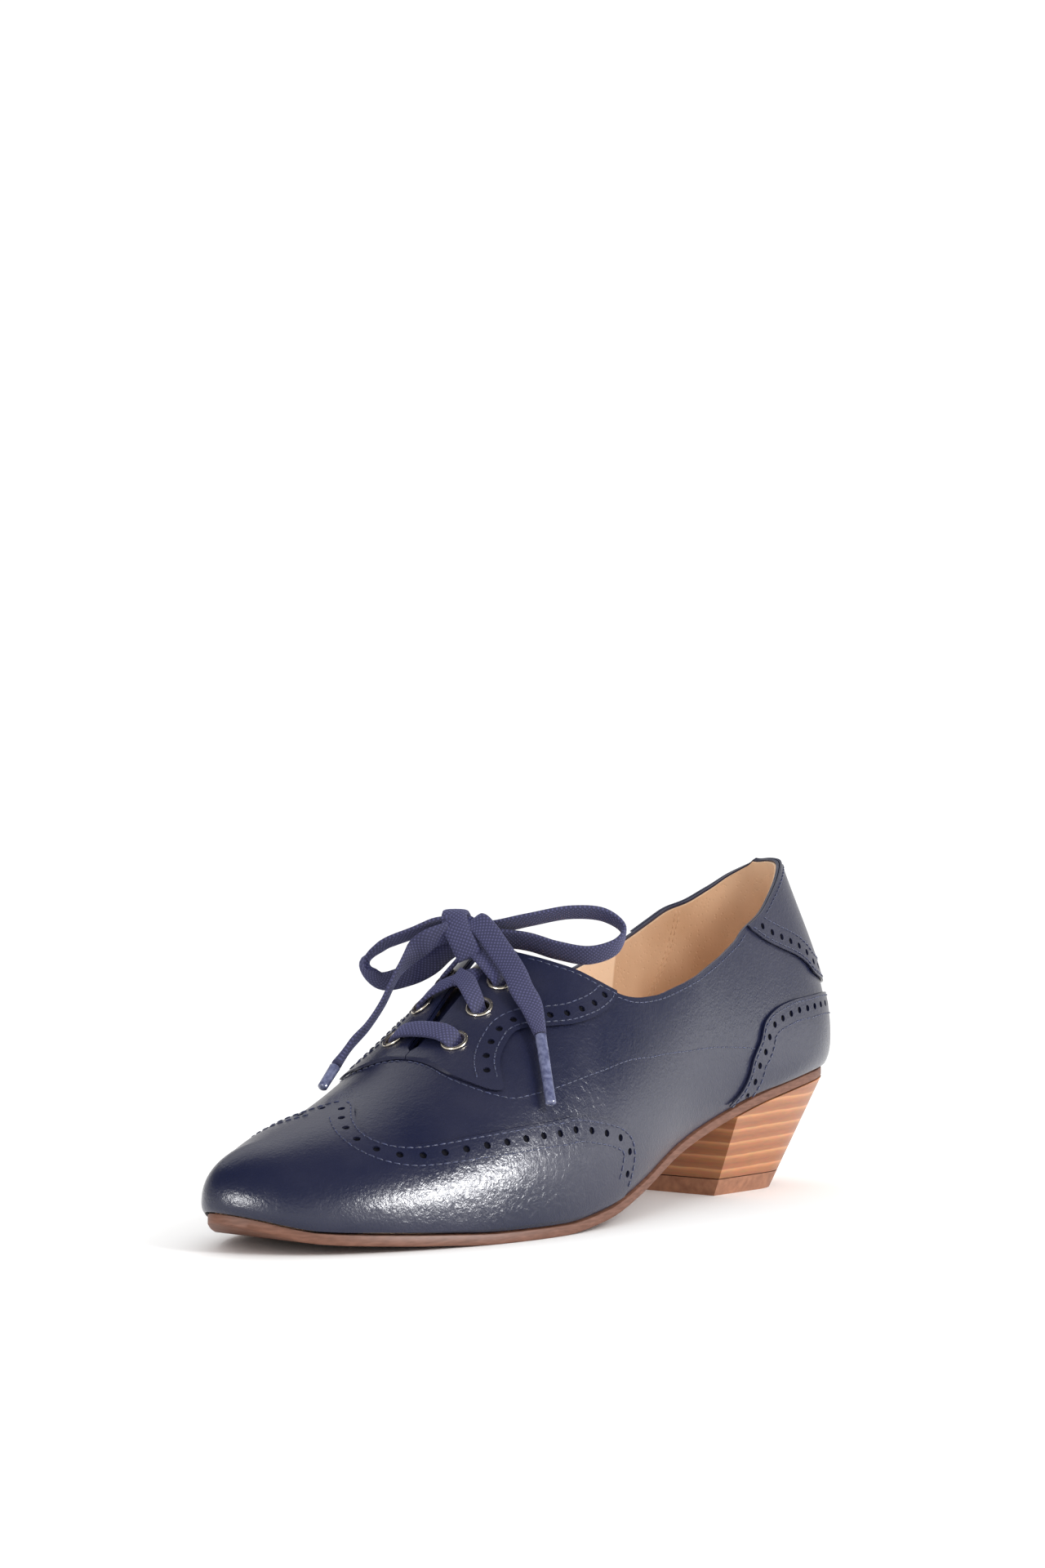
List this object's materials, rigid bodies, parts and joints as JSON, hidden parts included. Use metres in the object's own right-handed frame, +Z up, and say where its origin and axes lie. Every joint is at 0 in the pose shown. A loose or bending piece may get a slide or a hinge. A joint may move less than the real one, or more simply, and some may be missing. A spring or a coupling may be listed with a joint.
{
  "type": "brogue oxford shoe",
  "caption": "Low-heeled lace-up wingtip oxford for the left foot, with a punched cap, a hollow upper open at the collar, a tied bow and a stacked heel.",
  "frame": {"origin": "centre of the heel's flat face on the ground", "axes": "+Z up, the toe points towards -Y, +X is the outer side of the left foot"},
  "size_m": [0.0841, 0.2616, 0.1062],
  "materials": {
    "navy_leather": "polished",
    "lining_leather": "matt",
    "sole_leather": "satin",
    "stacked_wood": "satin",
    "heel_rubber": "matt",
    "nickel": "polished",
    "lace_cotton": "matt",
    "aglet_plastic": "gloss"
  },
  "bodies": {
    "root": {"upper": "navy_leather", "toe_cap": "navy_leather", "heel_counter": "navy_leather", "heel_tab": "navy_leather", "facing_outer": "navy_leather", "facing_inner": "navy_leather", "tongue": "navy_leather", "insole": "lining_leather", "outsole": "sole_leather", "heel_stack": "stacked_wood", "heel_top_piece": "heel_rubber", "eyelet_outer_1": "nickel", "eyelet_outer_2": "nickel", "eyelet_outer_3": "nickel", "eyelet_inner_1": "nickel", "eyelet_inner_2": "nickel", "eyelet_inner_3": "nickel", "lace_bar": "lace_cotton", "lace_cross": "lace_cotton", "lace_tie_outer": "lace_cotton", "lace_tie_inner": "lace_cotton", "lace_knot": "lace_cotton", "lace_loop_outer": "lace_cotton", "lace_loop_inner": "lace_cotton", "lace_end_outer": "lace_cotton", "lace_end_inner": "lace_cotton", "aglet_outer": "aglet_plastic", "aglet_inner": "aglet_plastic"}
  },
  "joints": []
}
